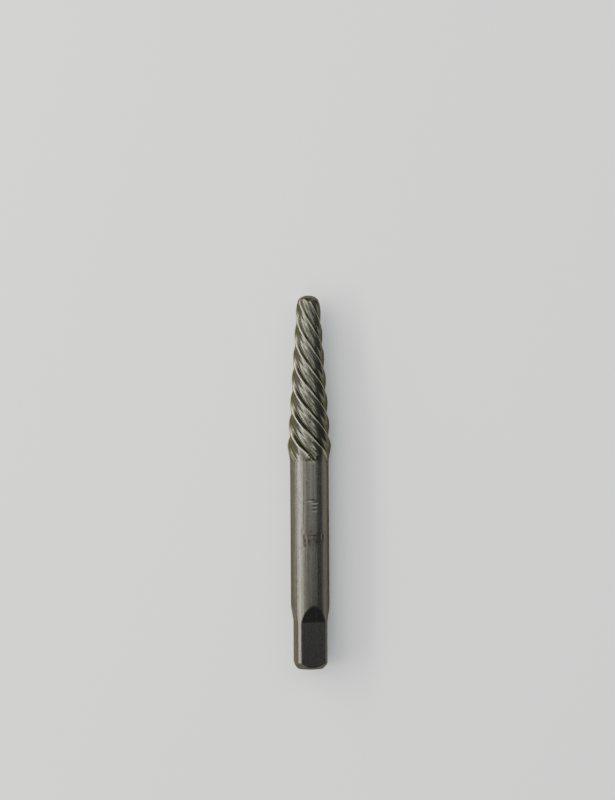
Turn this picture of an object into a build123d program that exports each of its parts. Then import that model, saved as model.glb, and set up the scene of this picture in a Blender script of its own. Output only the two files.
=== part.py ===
from build123d import *
import os
from math import ceil, cos, radians, tan

# Spiral-flute screw extractor, in millimetres and degrees.
# It is drawn standing on its drive end, with its axis on Z, and then laid down.

# Square drive end, ground on the round shank
across_flats = 6.15
square_length = 9.7
runout_length = 3.3
wheel_radius = 24.5
square_turn = 11.5
end_chamfer = 1.37

# Round shank, between the square's run-outs and the shoulder
shank_diameter = 7.94
round_length = 29.3

# Tapered working end. Its crests stand above the shank by crest_rise where they are widest.
crest_rise = 0.53
shoulder_length = 2.9
fluted_length = 31.0
taper_half_angle = 4.0
tip_crown = 0.25
tip_corner_length = 2.0
tip_corner_radius = 2.08
tip_corner_width = 1.22

# Left-hand spiral flutes. Depth and bottom radius are those at the widest crests, and shrink
# with the taper. The shares are of the angle from one flute to the next: the land's width, and
# how far the bottom lies from the sharp edge.
flute_count = 6
flute_lead = 27.7
flute_depth = 0.8
bottom_radius = 0.6
land_share = 0.22
bottom_share = 0.2
edge_turn = 34.9

# Steps of the loft, and how far cutting forms run on beyond the ends and the lands
loft_step = 8.0
beyond_ends = 0.5
beyond_lands = 0.35

# The blank is this much too long until its tip is rounded. The line where a turned form closes on
# itself lies on a land at the tip, so many degrees behind its heel, clear of the flutes' ends.
spare_length = 0.3
seam_behind_heel = 4.3

# How finely the lie of the tool at rest is worked out
rest_step = 0.25
rest_slice = 0.05

shank_radius = shank_diameter / 2
shoulder_foot = square_length + runout_length + round_length
widest_place = shoulder_foot + shoulder_length
overall_length = widest_place + fluted_length
widest_radius = shank_radius + crest_rise
taper = tan(radians(taper_half_angle))
flute_pitch = 360 / flute_count


def crest_radius(height):
    """Radius over the crests, which the taper reduces towards the tip."""
    return widest_radius - (height - widest_place) * taper


def shoulder_radius(height):
    return shank_radius + (height - shoulder_foot) * crest_rise / shoulder_length


def edge_angle(height):
    """Direction of one land's sharp edge. It turns backwards on the way up: a left-hand spiral."""
    return edge_turn - 360 * (height - widest_place) / flute_lead


def polar(radius, angle):
    return Vector(radius, 0).rotate(Axis.Z, angle)


def star_section():
    """Section of the working end at its widest. Its points stand clear of the lands, which the
    lathe has turned, so that only its rounded hollows cut into them."""
    outline = []
    for flute in range(flute_count):
        turn = flute * flute_pitch
        edge = polar(widest_radius, turn)
        bottom = polar(widest_radius - flute_depth, turn + bottom_share * flute_pitch)
        heel = polar(widest_radius, turn + (1 - land_share) * flute_pitch)
        past_edge = edge + (edge - bottom).normalized() * beyond_lands
        past_heel = heel + (heel - bottom).normalized() * beyond_lands
        outline += [past_edge, bottom, past_heel]
    star = make_face(Polyline(*outline, close=True))
    bottoms = star.vertices().sort_by(SortBy.DISTANCE)[:flute_count]
    return fillet(bottoms, bottom_radius)


def flute_form():
    """What the flutes take off: a sleeve round the tapered, twisted star, from where the bottoms
    of the flutes have come out through the shank."""
    bottom_share_of_radius = 1 - flute_depth / widest_radius
    bottoms_leave_shank = widest_place - (shank_radius / bottom_share_of_radius - widest_radius) / taper
    low = bottoms_leave_shank - beyond_ends
    high = overall_length + beyond_ends
    steps = ceil(360 * (high - low) / flute_lead / loft_step)
    section = star_section()
    slices = []
    for step in range(steps + 1):
        height = low + (high - low) * step / steps
        turned = Rot(0, 0, edge_angle(height)) * scale(section, crest_radius(height) / widest_radius)
        slices.append(Pos(0, 0, height) * turned)
    sleeve = Pos(0, 0, low) * Cylinder(
        widest_radius + shank_radius,
        high - low + beyond_ends,
        align=(Align.CENTER, Align.CENTER, Align.MIN),
    )
    return sleeve - loft(slices)


def turned_blank():
    """The blank as it leaves the lathe: chamfered end, shank, shoulder and cone, still too long."""
    blank_length = overall_length + spare_length
    outline = Polyline(
        (0, 0),
        (shank_radius - end_chamfer, 0),
        (shank_radius, end_chamfer),
        (shank_radius, shoulder_foot),
        (widest_radius, widest_place),
        (crest_radius(blank_length), blank_length),
        (0, blank_length),
        close=True,
    )
    return revolve(Plane.XZ * make_face(outline), Axis.Z)


def tip_cutter():
    """What rounds the tip after the flutes are cut: a ring outside its round corner and crown."""
    corner_place = overall_length - tip_corner_length
    corner_radius = crest_radius(corner_place)
    crown_place = overall_length - tip_crown
    crown_radius = corner_radius - tip_corner_width
    top = overall_length + 2 * spare_length
    outline = [
        RadiusArc((corner_radius, corner_place), (crown_radius, crown_place), -tip_corner_radius),
        TangentArc((0, overall_length), (crown_radius, crown_place), tangent=(1, 0)),
        Line((0, overall_length), (0, top)),
        Line((0, top), (widest_radius, top)),
        Line((widest_radius, top), (widest_radius, corner_place)),
        Line((widest_radius, corner_place), (corner_radius, corner_place)),
    ]
    return revolve(Plane.XZ * make_face(Wire(outline)), Axis.Z)


def flat_cutter():
    """What the grinding wheel takes off for one flat, with its curved run-out up to the shank."""
    flat_radius = across_flats / 2
    runout_end = square_length + runout_length
    outline = [
        Line((flat_radius, -beyond_ends), (flat_radius, square_length)),
        RadiusArc((flat_radius, square_length), (shank_radius, runout_end), wheel_radius),
        Line((shank_radius, runout_end), (2 * shank_radius, runout_end)),
        Line((2 * shank_radius, runout_end), (2 * shank_radius, -beyond_ends)),
        Line((2 * shank_radius, -beyond_ends), (flat_radius, -beyond_ends)),
    ]
    return extrude(Plane.XZ * make_face(Wire(outline)), shank_radius, both=True)


def standing_tool():
    """The whole tool on its drive end."""
    heel_at_tip = edge_angle(overall_length) + (1 - land_share) * flute_pitch
    seam = Rot(0, 0, heel_at_tip + seam_behind_heel)
    tool = seam * turned_blank() - flute_form()
    tool -= seam * Rot(0, 0, 180) * tip_cutter()
    for flat in range(4):
        tool -= Rot(0, 0, square_turn + 90 * flat) * flat_cutter()
    return tool


def reach(direction):
    """How far the lands reach from the axis in one direction. The farthest place lies between the
    shoulder's foot and one flute's pitch above the widest crests."""
    span = shoulder_length + flute_lead / flute_count
    farthest = 0
    for step in range(round(span / rest_slice)):
        height = shoulder_foot + step * rest_slice
        behind_edge = (edge_angle(height) - direction) % flute_pitch
        beside_land = min(max(behind_edge - land_share * flute_pitch, 0), flute_pitch - behind_edge)
        radius = min(crest_radius(height), shoulder_radius(height))
        farthest = max(farthest, radius * cos(radians(beside_land)))
    return farthest


def lay_down(tool):
    """Lays the tool along +Y, tip forward, on the two lands between which it comes to rest."""
    first = 180 - flute_pitch / 2
    directions = [first + step * rest_step for step in range(round(flute_pitch / rest_step))]
    down = min(directions, key=reach)
    turned = Rot(0, 0, 180 - down) * tool
    along_y = Plane(origin=(0, 0, 0), x_dir=(0, 0, 1), z_dir=(0, 1, 0)).location * turned
    print(f"rests with {down:.2f} down, its axis {reach(down):.4f} above the table")
    return Pos(0, -overall_length / 2, reach(down)) * along_y


os.makedirs("parts", exist_ok=True)
extractor = lay_down(standing_tool())
extractor.label = "extractor"
export_step(extractor, "parts/extractor.step")
print(f"extractor: {extractor.volume:.1f} cubic mm, {overall_length:.1f} mm long")
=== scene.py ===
import math

import bpy
import numpy as np
from mathutils import Matrix, Vector


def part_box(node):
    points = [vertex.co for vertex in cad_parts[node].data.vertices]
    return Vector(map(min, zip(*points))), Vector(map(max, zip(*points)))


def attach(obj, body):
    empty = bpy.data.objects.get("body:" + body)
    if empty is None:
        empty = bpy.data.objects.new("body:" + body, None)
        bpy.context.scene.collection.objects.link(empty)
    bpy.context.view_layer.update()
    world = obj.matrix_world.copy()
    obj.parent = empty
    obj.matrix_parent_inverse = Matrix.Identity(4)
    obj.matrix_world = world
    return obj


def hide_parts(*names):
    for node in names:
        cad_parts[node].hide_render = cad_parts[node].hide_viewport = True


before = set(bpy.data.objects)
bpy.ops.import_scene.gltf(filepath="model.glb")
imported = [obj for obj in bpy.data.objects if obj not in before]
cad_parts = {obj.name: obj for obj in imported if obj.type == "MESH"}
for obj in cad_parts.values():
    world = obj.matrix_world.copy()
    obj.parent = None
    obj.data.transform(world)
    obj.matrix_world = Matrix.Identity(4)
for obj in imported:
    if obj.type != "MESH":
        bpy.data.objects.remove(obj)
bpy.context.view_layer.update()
print("frame loaded")

# The tool lies along +Y, tip forward. Sizes of the tool are in millimetres along it from its
# drive end, or across it from its axis, and angles are in degrees round the axis.
millimetre = 0.001
toolLow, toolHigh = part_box("extractor")
toolLength = (toolHigh.y - toolLow.y) / millimetre
crestWidest = (toolHigh.x - toolLow.x) / 2 / millimetre

rest = {
    "axisHeight": 4.3470,      # above the table, lying on two lands
    "roll": 8.75,              # how far the side in the photograph is turned from straight up
}


# The form of the tool

blank = {
    "endChamfer": 1.37,
    "shankRadius": 3.97,
    "shoulderFoot": 42.3,
    "shoulderBend": 0.5,       # over which the shank curves into the shoulder
    "widestPlace": 45.2,
    "taperAngle": 4.0,         # to the axis
    "tipCornerLength": 2.0,
    "tipCornerWidth": 1.22,
    "tipCornerRadius": 2.08,
    "tipCrown": 0.25,
}

flutes = {
    "count": 6,
    "lead": 27.7,
    "edgeTurn": 34.9,          # where one land's sharp edge stands at the widest place
    # from one sharp edge to the next: the land that falls away in two slight waves, the flute's
    # bottom and the wall up to the next edge
    "shares": (0.02, 0.10, 0.17, 0.24, 0.31, 0.38, 0.45, 0.52, 0.61, 0.70, 0.79),
    "depths": (0, 0.07, 0.17, 0.21, 0.30, 0.43, 0.52, 0.51, 0.52, 0.57, 0.78),
    "softness": 0.018,         # of all its bends, as a share of the pitch
    "runOutSoftness": 0.05,    # where the flutes come out through the shoulder
}

square = {
    "flatRadius": 3.075,
    "length": 9.7,
    "runOut": 3.3,
    "wheelRadius": 24.5,
    "wheelBeyond": 1.5,        # how far past the run-out the wheel's rim is followed
    "turn": 11.5,
    "cornerSoftness": 0.07,
}

# marks of use on the shank: where they lie, how far they reach along and round it, their depth
dents = {
    "places": (34.4, 34.0, 33.2, 32.4, 28.0, 27.1, 27.0, 26.2, 25.2, 24.7, 27.2),
    "sides": (4, 17, 15, 14, -22, -14, 40, -12, -10, -22, 10),
    "lengths": (0.16, 0.17, 0.13, 0.13, 0.35, 0.4, 0.5, 0.5, 0.35, 0.25, 0.13),
    "widths": (12, 9, 8, 8, 4, 4, 4, 4, 4, 5, 16),
    "depths": (0.05, 0.07, 0.04, 0.03, 0.05, 0.06, 0.05, 0.07, 0.05, 0.045, 0.025),
}


def crestRadius(place):
    # straight taper: the radius falls from the widest place by the length times the slope
    slope = math.tan(math.radians(blank["taperAngle"]))
    return crestWidest - (place - blank["widestPlace"]) * slope


def arcCentre(start, end, radius):
    # the middle of the chord, moved square to it towards the axis, so far that both ends are
    # one radius away
    along, across = end[0] - start[0], end[1] - start[1]
    chord = math.hypot(along, across)
    offset = math.sqrt(radius ** 2 - chord ** 2 / 4)
    return ((start[0] + end[0]) / 2 + across / chord * offset,
            (start[1] + end[1]) / 2 - along / chord * offset)


def tipSizes():
    # where the tip's round corner starts and its crown starts, each with its radius, and the
    # radius of the ball that the crown is a cap of: from the cap's width and its height
    corner = toolLength - blank["tipCornerLength"]
    crown = toolLength - blank["tipCrown"]
    crownRadius = crestRadius(corner) - blank["tipCornerWidth"]
    ball = (crownRadius ** 2 + blank["tipCrown"] ** 2) / (2 * blank["tipCrown"])
    return corner, crestRadius(corner), crown, crownRadius, ball


def blankRadius(place):
    # chamfer, shank, shoulder and taper: at each place the lowest of the lines that bound them,
    # then the tip's round corner and its crown, each an arc of a circle
    chamfer = blank["shankRadius"] - blank["endChamfer"] + place
    rise = (crestWidest - blank["shankRadius"]) / (blank["widestPlace"] - blank["shoulderFoot"])
    past = place - blank["shoulderFoot"]
    bend = blank["shoulderBend"]
    climb = np.where(past < bend, np.maximum(past, 0) ** 2 / (2 * bend), past - bend / 2)
    shoulder = blank["shankRadius"] + rise * climb
    radius = np.minimum(np.minimum(chamfer, shoulder), crestRadius(place))
    cornerPlace, cornerRadius, crownPlace, crownRadius, ball = tipSizes()
    bow = blank["tipCornerRadius"]
    centre = arcCentre((cornerPlace, cornerRadius), (crownPlace, crownRadius), bow)
    corner = centre[1] + np.sqrt(np.maximum(bow ** 2 - (place - centre[0]) ** 2, 0))
    crown = np.sqrt(np.maximum(ball ** 2 - (place - toolLength + ball) ** 2, 0))
    radius = np.where(place > cornerPlace, corner, radius)
    return np.where(place > crownPlace, crown, radius)


def softLower(first, second, softness):
    # the lower of two values, with their meeting rounded off over the softness
    blend = np.clip(0.5 + (second - first) / (2 * softness), 0, 1)
    return first * blend + second * (1 - blend) - softness * blend * (1 - blend)


def softProfile(samples=4096):
    # one pitch of the flutes' section on a fine ring, as radius against the share of the pitch
    # counted back from the sharp edge, with its bends worn by a bell-shaped average
    share = (np.arange(samples) + 0.5) / samples
    radius = crestWidest - np.interp(share, flutes["shares"], flutes["depths"], period=1.0)
    reach = np.minimum(share, 1 - share)
    bell = np.exp(-0.5 * (reach / flutes["softness"]) ** 2)
    worn = np.real(np.fft.ifft(np.fft.fft(radius) * np.fft.fft(bell / bell.sum())))
    return share, worn + crestWidest - worn.max()


def flatDistance(place):
    # from the axis to a flat, then up the hollow that the wheel's rim leaves
    start = (square["length"], square["flatRadius"])
    end = (square["length"] + square["runOut"], blank["shankRadius"])
    centre = arcCentre(end, start, square["wheelRadius"])
    rim = centre[1] - np.sqrt(square["wheelRadius"] ** 2 - (place - centre[0]) ** 2)
    return np.where(place < start[0], square["flatRadius"], rim)


def angleFrom(middle, around):
    # the angle from a direction, between half a turn back and half a turn on
    return (around - middle + 180) % 360 - 180


def toolRadius(place, around, share):
    # the lowest of the blank, the fluted section shrunk with the taper, and the four flats, each
    # at its distance over the cosine of the angle from its middle
    ring, profile = softProfile()
    fluted = np.interp(share, ring, profile, period=1.0) * crestRadius(place) / crestWidest
    radius = softLower(blankRadius(place), fluted, flutes["runOutSoftness"])
    wheelEnd = square["length"] + square["runOut"] + square["wheelBeyond"]
    outOfReach = 99.0
    for quarter in range(4):
        aside = np.radians(angleFrom(square["turn"] + 90 * quarter, around))
        facing = np.cos(aside) > 0.2
        flat = flatDistance(np.minimum(place, wheelEnd)) / np.where(facing, np.cos(aside), 1)
        flat = np.where(facing & (place < wheelEnd), flat, outOfReach)
        radius = softLower(radius, flat, square["cornerSoftness"])
    return radius


def patch(place, around, middle, side, length, width):
    # 1 in the middle of a spot, and off to 0 around it: a bell along the tool, and round it a
    # bell with a flat top
    return np.exp(-((place - middle) / length) ** 2 - (angleFrom(side, around) / width) ** 4)


def dented(radius, place, around):
    # each dent is a shallow dish, long or wide
    for middle, side, length, width, depth in zip(*dents.values()):
        radius = radius - depth * patch(place, around, middle, side, length, width)
    return radius


# The skin, a stack of closed rings

skin = {
    # where each stretch of rows ends: the drive end's rim, the chamfer, its edge, the flats, their
    # run-outs, the shank with its dark brown patch and then its nicks between plain stretches, the
    # shoulder
    "rowEnds": (0.03, 1.3, 1.46, 9.4, 13.2, 24.0, 28.8, 32.0, 35.0, 40.4, 45.5),
    # how far apart the rows stand in each, and then on the lands and round the tip's corner
    "rowGaps": (0.03, 0.09, 0.04, 0.5, 0.1, 0.6, 0.15, 0.5, 0.08, 0.45, 0.1, 0.26, 0.06),
    "beforeCorner": 0.05,      # of the tip, where its close rows start
    "crownRings": 8,
    "discRings": 7,            # across the flat drive end
    "discInnermost": 0.12,     # as a share of that end's radius
    "columns": 42,             # from one sharp edge to the next
    "edgeCrowding": 1.5,       # how many more by the sharp edge, as a share
    "edgeReach": 0.02,         # and how far from it, as a share of the pitch
    "straightBelow": 30.0,     # below here the columns run straight along the tool
    "spiralAbove": 40.3,
}


def rowPlaces():
    # even rows within each stretch, and on the crown rings evenly apart across the ball's cap
    corner, cornerRadius, crown, crownRadius, ball = tipSizes()
    ends = skin["rowEnds"] + (corner - skin["beforeCorner"], crown)
    rows, start = [], 0
    for end, gap in zip(ends, skin["rowGaps"]):
        rows.append(np.linspace(start, end, max(1, round((end - start) / gap)), endpoint=False))
        start = end
    rings = crownRadius * np.linspace(1, 0, skin["crownRings"] + 1)[:-1]
    rows.append(toolLength - ball + np.sqrt(ball ** 2 - rings ** 2))
    return np.concatenate(rows)


def columnShares():
    # shares of one pitch for the columns: the running sum of a crowding that is bell-shaped by
    # the sharp edge, read backwards at even steps
    fine = (np.arange(2000) + 0.5) / 2000
    byEdge = np.exp(-0.5 * (np.minimum(fine, 1 - fine) / skin["edgeReach"]) ** 2)
    crowd = np.cumsum(1 + skin["edgeCrowding"] * byEdge)
    crowd = (crowd - crowd[0]) / (crowd[-1] - crowd[0])
    return np.interp(np.arange(skin["columns"]) / skin["columns"], crowd, fine)


def spiralTurn(place):
    # how far the columns have turned: with the flutes on the working end. Down the plain shank
    # their rate falls off evenly to nothing, so that they run straight along the square.
    rate = -360 / flutes["lead"]
    span = skin["spiralAbove"] - skin["straightBelow"]
    held = np.maximum(place, skin["spiralAbove"])
    below = np.clip((skin["spiralAbove"] - place) / span, 0, 1)
    eased = span * (below - below ** 2 / 2)
    return rate * (held - blank["widestPlace"]) - rate * eased


def closedMesh(name, rings, firstPole, lastPole):
    # skin over a stack of closed rings (rows, columns, xyz), with a fan to a pole at each end
    rows, columns = rings.shape[:2]
    points = np.vstack([rings.reshape(-1, 3), firstPole, lastPole])
    row, column = np.meshgrid(np.arange(rows - 1), np.arange(columns), indexing="ij")
    following = (column + 1) % columns
    quads = np.stack([row * columns + column, row * columns + following,
                      (row + 1) * columns + following, (row + 1) * columns + column], axis=-1)
    around = np.arange(columns)
    after = (around + 1) % columns
    first, last = rows * columns, rows * columns + 1
    lowFan = np.stack([np.full(columns, first), after, around], axis=-1)
    top = (rows - 1) * columns
    highFan = np.stack([top + around, top + after, np.full(columns, last)], axis=-1)
    corners = np.concatenate([quads.ravel(), lowFan.ravel(), highFan.ravel()]).astype(np.int32)
    sides = np.concatenate([np.full(quads.size // 4, 4), np.full(2 * columns, 3)]).astype(np.int32)
    starts = np.concatenate([[0], np.cumsum(sides)[:-1]]).astype(np.int32)
    mesh = bpy.data.meshes.new(name)
    mesh.vertices.add(len(points))
    mesh.vertices.foreach_set("co", points.astype(np.float32).ravel())
    mesh.loops.add(len(corners))
    mesh.loops.foreach_set("vertex_index", corners)
    mesh.polygons.add(len(sides))
    mesh.polygons.foreach_set("loop_start", starts)
    mesh.polygons.foreach_set("use_smooth", np.ones(len(sides), dtype=bool))
    mesh.update(calc_edges=True)
    mesh.validate()
    piece = bpy.data.objects.new(name, mesh)
    bpy.context.scene.collection.objects.link(piece)
    return piece


def makeExtractor():
    # each row's ring of points: the tool's radius at the row's place and the column's angle,
    # with the flat drive end as the first ring drawn in to its middle
    pitch = 360 / flutes["count"]
    shares = np.concatenate([columnShares() + number for number in range(flutes["count"])])
    # a share counts back from the sharp edge, so columns with rising angle take it in reverse
    place, share = np.meshgrid(rowPlaces(), -shares[::-1], indexing="ij")
    around = flutes["edgeTurn"] + spiralTurn(place) + share * pitch
    # the section follows the true spiral, also where the columns have eased off it
    trueTurn = -360 * (place - blank["widestPlace"]) / flutes["lead"]
    behindEdge = (flutes["edgeTurn"] + trueTurn - around) / pitch
    radius = dented(toolRadius(place, around, behindEdge % 1.0), place, around)
    disc = np.linspace(skin["discInnermost"], 1, skin["discRings"] + 1)[:-1]
    radius = np.vstack([radius[:1] * ring for ring in disc] + [radius])
    place, around, behindEdge = [np.vstack([grid[:1]] * len(disc) + [grid])
                                 for grid in (place, around, behindEdge)]
    turned = np.radians(around + rest["roll"])
    rings = np.stack([radius * np.sin(turned) * millimetre,
                      toolLow.y + place * millimetre,
                      (radius * np.cos(turned) + rest["axisHeight"]) * millimetre], axis=-1)
    axis = rest["axisHeight"] * millimetre
    piece = closedMesh("screwExtractor", rings, [[0, toolLow.y, axis]], [[0, toolHigh.y, axis]])
    storeGrain(piece, radius, place, around)
    storeFinishAndPaintedLight(piece, radius, place, around, behindEdge % 1.0)
    triangles = sum(len(face.vertices) - 2 for face in piece.data.polygons)
    print("extractor built:", len(piece.data.vertices), "points,", triangles, "triangles")
    return piece


# Where the finish, the painted shade and the painted highlight change, kept on the mesh for the
# material

finishAndPaintedLight = {
    "workedFrom": -0.6,        # past the shoulder's foot, where the flutes' finish fades in
    "workedTo": 0.9,
    "crownFrom": 0.9,          # short of the tip, where it fades out again
    "crownTo": 0.3,
    "groundShare": 0.04,       # of the radius: a flat this deep gets the flats' painted shade in full
    "groundBelow": 3,          # the shoulder's foot, and nowhere above
    "bottomShares": (0.69, 0.79, 0.9, 0.99),    # the flutes' bottoms, fading in and out: painted shade with a painted olive reflection there
    "shadedGrooveShare": 0.25,       # the hollow between a land's two waves, darkened with painted shade
    "shadedGrooveWidth": 0.08,
    "edgeShare": 0.01,         # the bright line by the sharp edge: real wear, brightened further as a painted highlight
    "edgeWidth": 0.045,
}

# a dark brown patch by the dents
brownPatch = {"place": 26.6, "side": 12, "length": 1.5, "width": 34}


def smoothStep(low, high, value):
    # 0 below and 1 above, with an S-shaped rise of three squares less two cubes
    t = np.clip((value - low) / (high - low), 0, 1)
    return t * t * (3 - 2 * t)


def bellShare(share, middle, width):
    # a bell round one share of the pitch, closed over the sharp edge
    return np.exp(-(((share - middle + 0.5) % 1.0 - 0.5) / width) ** 2)


def storeGrain(piece, radius, place, around):
    # each point's place on a tool whose spiral is unwound, in millimetres, so that a pattern
    # stretched along it follows the lands
    unwound = np.radians(around - spiralTurn(place))
    grain = np.stack([radius * np.sin(unwound), place, radius * np.cos(unwound)], axis=-1)
    grain = np.vstack([grain.reshape(-1, 3), [[0, 0, 0], [0, toolLength, 0]]])
    layer = piece.data.attributes.new("grain", "FLOAT_VECTOR", "POINT")
    layer.data.foreach_set("vector", grain.astype(np.float32).ravel())


def storeFinishAndPaintedLight(piece, radius, place, around, share):
    # numbers from 0 to 1 for each kind of finish, painted shade and painted highlight, with 0 at both
    # poles
    foot = blank["shoulderFoot"]
    worked = smoothStep(foot + finishAndPaintedLight["workedFrom"], foot + finishAndPaintedLight["workedTo"], place)
    onCrown = smoothStep(toolLength - finishAndPaintedLight["crownFrom"], toolLength - finishAndPaintedLight["crownTo"], place)
    worked = worked * (1 - onCrown)
    flatness = 1 - radius / np.maximum(blankRadius(place), 0.1)
    onFlats = place < foot - finishAndPaintedLight["groundBelow"]
    fadeIn, full, fadeOut, gone = finishAndPaintedLight["bottomShares"]
    bottom = smoothStep(fadeIn, full, share) * smoothStep(gone, fadeOut, share)
    # the flats, the flutes' bottoms and each land's hollow get painted shade, the sharp edges a
    # painted highlight
    layers = {
        "worked": worked,
        "ground": smoothStep(0, finishAndPaintedLight["groundShare"], flatness) * onFlats,
        "bottom": bottom * worked,
        "shadedGroove": bellShare(share, finishAndPaintedLight["shadedGrooveShare"], finishAndPaintedLight["shadedGrooveWidth"]) * worked,
        "edge": bellShare(share, finishAndPaintedLight["edgeShare"], finishAndPaintedLight["edgeWidth"]) * worked,
        "brownPatch": patch(place, around, brownPatch["place"], brownPatch["side"], brownPatch["length"], brownPatch["width"]),
    }
    for name, values in layers.items():
        layer = piece.data.attributes.new(name, "FLOAT", "POINT")
        layer.data.foreach_set("value", np.append(values.ravel(), [0, 0]).astype(np.float32))


# The material

class Value:
    # one socket of a node, with the arithmetic that makes Math nodes of an expression
    def __init__(self, shader, socket):
        self.shader, self.socket = shader, socket

    def __add__(self, other):
        return self.shader.calculate("ADD", self, other)

    __radd__ = __add__

    def __mul__(self, other):
        return self.shader.calculate("MULTIPLY", self, other)

    __rmul__ = __mul__

    def __sub__(self, other):
        return self.shader.calculate("SUBTRACT", self, other)

    def __rsub__(self, other):
        return self.shader.calculate("SUBTRACT", other, self)


class Shader:
    # a material's node tree, built by calls
    def __init__(self, name):
        self.material = bpy.data.materials.new(name)
        self.material.use_nodes = True
        self.nodes = self.material.node_tree.nodes
        self.links = self.material.node_tree.links
        self.surface = self.nodes["Principled BSDF"]

    def node(self, kind, inputs, settings=None, output=0):
        # a node of one type, with its settings first, and then a value or a link in each of
        # the sockets that are named or counted
        made = self.nodes.new("ShaderNode" + kind)
        for name, setting in (settings or {}).items():
            setattr(made, name, setting)
        for key, given in inputs.items():
            if isinstance(given, Value):
                self.links.new(given.socket, made.inputs[key])
            else:
                made.inputs[key].default_value = given
        return Value(self, made.outputs[output])

    def calculate(self, operation, first, second):
        return self.node("Math", {0: first, 1: second}, {"operation": operation})

    def attribute(self, name, output="Fac"):
        return self.node("Attribute", {}, {"attribute_name": name}, output)

    def mixColour(self, factor, first, second):
        # the sockets of a Mix node are counted, because numbers and colours share their names
        return self.node("Mix", {0: factor, 6: first, 7: second}, {"data_type": "RGBA"}, output=2)

    def mixNumber(self, factor, first, second):
        return self.node("Mix", {0: factor, 2: first, 3: second}, {"data_type": "FLOAT"})

    def spread(self, value, low, high, newLow=0.0, newHigh=1.0):
        # the range from low to high, mapped in a straight line and held at its ends
        return self.node("MapRange", {0: value, 1: low, 2: high, 3: newLow, 4: newHigh})

    def noise(self, where, scales, detail, roughness=0.55):
        # a noise whose grains are stretched along the directions with small scales
        stretched = self.node("VectorMath", {0: where, 1: scales}, {"operation": "MULTIPLY"})
        return self.node("TexNoise", {"Vector": stretched, "Scale": 1.0, "Detail": detail,
                                      "Roughness": roughness})

    def connect(self, value, name):
        self.links.new(value.socket, self.surface.inputs[name])


steel = {
    # grains to a metre across, along and upwards
    "streaks": (2600, 90, 2600),
    "bands": (1500, 8, 1500),
    "grinding": (5200, 70, 5200),
    "mottle": (900, 900, 900),
    "pits": (2600, 1100, 2600),
    # grains to a millimetre, on the unwound tool
    "spiral": (6.0, 0.8, 6.0),
    # colours: some from dark to light, the others each for one finish, one painted shade or one
    # painted highlight
    "shank": ((0.094, 0.09, 0.076, 1), (0.133, 0.128, 0.108, 1)),
    "lands": ((0.072, 0.073, 0.057, 1), (0.113, 0.114, 0.089, 1)),
    "driveEndDark": (0.05, 0.048, 0.044, 1),
    "brownPatchColour": (0.034, 0.019, 0.016, 1),
    "pitted": (0.035, 0.034, 0.03, 1),
    # painted shade in the hollow between a land's two waves
    "shadedGroove": (0.05, 0.052, 0.036, 1),
    # painted shade at the flutes' bottoms, olive as a painted reflection
    "bottom": (0.052, 0.053, 0.028, 1),
    # painted shade: the flats darker, standing for the dark that they reflect
    "ground": (0.056, 0.055, 0.051, 1),
    # the sharp edges much lighter: partly wear, partly a painted highlight
    "edge": (0.3, 0.28, 0.22, 1),
    "sheen": (0.5, 0.46, 0.38, 1),
    # how strongly each finish and each painted shade covers what lies under it
    "brownPatchCover": 0.75,
    "pitCover": 0.6,
    "shadedGrooveCover": 0.35,
    "bottomCover": 0.65,
    # the values of a pattern between which it turns from none to full
    "toneRange": (0.36, 0.64),
    "pitRange": (0.66, 0.72),
    "brownPatchRange": (0.66, 0.86),
    "groundRange": (0.2, 0.8),
    # darker towards the drive end, up to a little past the middle: metres along Y, then how strongly
    "driveEndDarkRange": (-0.03, 0.006, 0.3, 0.0),
    # roughness rises with the marks, and is a little less on the lands
    "roughnessRange": (0.3, 0.7, 0.22, 0.34),
    "landPolish": 0.03,
    "reliefStrength": 0.5,
    "reliefDepth": 0.00007,    # in metres
}


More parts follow.
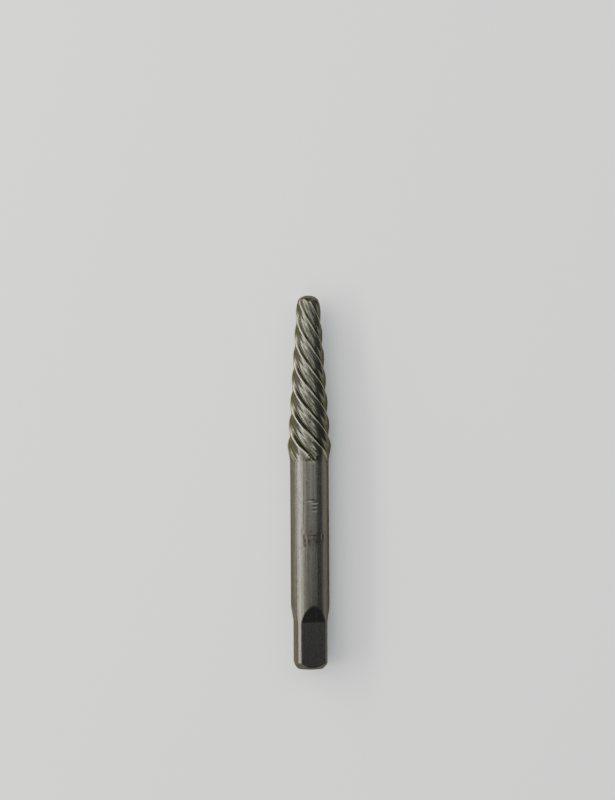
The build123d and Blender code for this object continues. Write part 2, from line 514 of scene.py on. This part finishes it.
def makeSteel():
    # layers of colour from the shank's and the lands' own tones, through painted shade on the flats,
    # in the flutes' bottoms and in the lands' hollows, up to the worn edges with a painted highlight,
    # and roughness and height from the same marks
    shader = Shader("hardenedSteel")
    straight = shader.node("TexCoord", {}, output="Object")
    grain = shader.attribute("grain", "Vector")
    worked = shader.attribute("worked")
    streaks = shader.noise(straight, steel["streaks"], 4.0)
    bands = shader.noise(straight, steel["bands"], 2.0)
    mottle = shader.noise(straight, steel["mottle"], 5.0, 0.65)
    pits = shader.spread(shader.noise(straight, steel["pits"], 2.0), *steel["pitRange"])
    spiral = shader.noise(grain, steel["spiral"], 4.0)
    lengthwise = streaks * 0.35 + bands * 0.35
    marks = shader.mixNumber(worked, lengthwise, spiral * 0.5 + 0.1) + mottle * 0.3
    tone = shader.spread(marks, *steel["toneRange"])
    along = shader.node("SeparateXYZ", {0: straight}, output="Y")
    # the colour turns darker towards the drive end
    endDarkening = shader.spread(along, *steel["driveEndDarkRange"])
    # a dark brown patch by the dents
    brown = shader.spread(mottle + streaks * 0.5, *steel["brownPatchRange"]) * shader.attribute("brownPatch")
    shank = shader.mixColour(tone, *steel["shank"])
    shank = shader.mixColour(endDarkening, shank, steel["driveEndDark"])
    shank = shader.mixColour(brown * steel["brownPatchCover"], shank, steel["brownPatchColour"])
    colour = shader.mixColour(worked, shank, shader.mixColour(tone, *steel["lands"]))
    colour = shader.mixColour(pits * steel["pitCover"], colour, steel["pitted"])
    # painted shade in the hollow between each land's two waves
    shadedGroove = shader.attribute("shadedGroove") * steel["shadedGrooveCover"]
    colour = shader.mixColour(shadedGroove, colour, steel["shadedGroove"])
    # painted shade and a painted olive reflection in the flutes' bottoms
    bottom = shader.attribute("bottom") * steel["bottomCover"]
    colour = shader.mixColour(bottom, colour, steel["bottom"])
    # the flats darkened with painted shade for the dark that they reflect
    ground = shader.spread(shader.attribute("ground"), *steel["groundRange"])
    colour = shader.mixColour(ground, colour, steel["ground"])
    # the bright line by the sharp edges: wear and a painted highlight
    colour = shader.mixColour(shader.attribute("edge"), colour, steel["edge"])
    shader.connect(colour, "Base Color")
    polish = worked * steel["landPolish"]
    shader.connect(shader.spread(marks, *steel["roughnessRange"]) - polish, "Roughness")
    shader.surface.inputs["Metallic"].default_value = 1.0
    shader.surface.inputs["Specular Tint"].default_value = steel["sheen"]
    grinding = shader.noise(straight, steel["grinding"], 3.0)
    height = shader.mixNumber(worked, grinding + bands * 1.5, spiral * 0.28) - pits * 0.3
    relief = shader.node("Bump", {"Strength": steel["reliefStrength"],
                                  "Distance": steel["reliefDepth"], "Height": height})
    shader.connect(relief, "Normal")
    return shader.material


# The camera and the studio

photo = {
    "width": 615,
    "height": 800,
    "scale": 4.895,            # pixels to a millimetre at the tool's axis
    "driveEndRow": 668.3,
    "axisColumn": 308.85,      # at the middle row
    "lean": 0.37,              # degrees, the tip to the left
    "distance": 460.0,         # millimetres from the camera to the axis
    "film": 36,                # height of the camera's film, in millimetres
}

# Each lamp is a soft rectangle. Its lean is in degrees to the camera's right, its ahead is how
# far it leans towards the tip. Sizes and distance are in metres, power in watts.
lamps = {
    "key": {"lean": -58, "ahead": 0.25, "distance": 0.7, "width": 0.85, "length": 1.25,
            "power": 8.5, "colour": (1.0, 0.98, 0.94)},
    "strip": {"lean": -64, "ahead": 0.25, "distance": 0.69, "width": 0.11, "length": 1.2,
              "power": 4.5, "colour": (1.0, 0.98, 0.95)},
    "fill": {"lean": 14, "ahead": 0.4, "distance": 0.9, "width": 1.1, "length": 0.85,
             "power": 6.0, "colour": (0.97, 0.98, 1.0)},
    # small and low towards the drive end, for the falling sides of the lands to reflect
    "lamp": {"lean": -17, "ahead": -0.65, "distance": 0.9, "width": 0.28, "length": 0.4,
             "power": 1.5, "colour": (0.97, 0.98, 1.0)},
}

room = {
    "sky": (0.8, 0.85, 0.9, 1),
    "skyStrength": 0.28,
    "floorSize": 4,
    "floor": (0.78, 0.78, 0.77, 1),
    "floorRoughness": 0.9,
}


def aim(thing, target, direction, upward, distance):
    # stands a camera or a lamp away from its target, looking back along the direction
    back = direction.normalized()
    side = upward.cross(back).normalized()
    turn = Matrix((side, back.cross(side), back)).transposed()
    thing.matrix_world = Matrix.Translation(target + back * distance) @ turn.to_4x4()


def makeCamera():
    # looks straight at the side of the tool that the photograph shows. The lens is the film's
    # height times the distance, over the height that the photograph takes in.
    data = bpy.data.cameras.new("camera")
    camera = bpy.data.objects.new("camera", data)
    bpy.context.scene.collection.objects.link(camera)
    bpy.context.scene.camera = camera
    data.lens = photo["film"] * photo["distance"] * photo["scale"] / photo["height"]
    data.clip_start, data.clip_end = 0.01, 10
    roll, lean = math.radians(rest["roll"]), math.radians(photo["lean"])
    back = Vector((math.sin(roll), 0, math.cos(roll)))
    right = Vector((math.cos(roll), 0, -math.sin(roll)))
    forward = Vector((0, 1, 0))
    place = (photo["driveEndRow"] - photo["height"] / 2) / photo["scale"]
    aside = (photo["width"] / 2 - photo["axisColumn"]) / photo["scale"]
    target = Vector((0, toolLow.y + place * millimetre, rest["axisHeight"] * millimetre))
    target += right * aside * millimetre
    upward = forward * math.cos(lean) + right * math.sin(lean)
    aim(camera, target, back, upward, photo["distance"] * millimetre)
    return target, right, forward, back


def makeLamp(name, lamp, target, right, forward, back):
    data = bpy.data.lights.new(name, "AREA")
    data.shape, data.size, data.size_y = "RECTANGLE", lamp["width"], lamp["length"]
    data.energy, data.color = lamp["power"], lamp["colour"]
    light = bpy.data.objects.new(name, data)
    bpy.context.scene.collection.objects.link(light)
    lean = math.radians(lamp["lean"])
    direction = right * math.sin(lean) + back * math.cos(lean) + forward * lamp["ahead"]
    aim(light, target, direction, forward, lamp["distance"])


def makeRoom():
    world = bpy.data.worlds.new("studio")
    bpy.context.scene.world = world
    world.use_nodes = True
    sky = world.node_tree.nodes["Background"]
    sky.inputs["Color"].default_value = room["sky"]
    sky.inputs["Strength"].default_value = room["skyStrength"]
    bpy.ops.mesh.primitive_plane_add(size=room["floorSize"])
    floor = bpy.context.object
    floor.name = "floor"
    paint = Shader("paleFloor")
    paint.surface.inputs["Base Color"].default_value = room["floor"]
    paint.surface.inputs["Roughness"].default_value = room["floorRoughness"]
    floor.data.materials.append(paint.material)


view = makeCamera()
for name, lamp in lamps.items():
    makeLamp(name, lamp, *view)
makeRoom()
print("studio set")

extractor = makeExtractor()
extractor.data.materials.append(makeSteel())
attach(extractor, "root")
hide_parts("extractor")
print("material set")
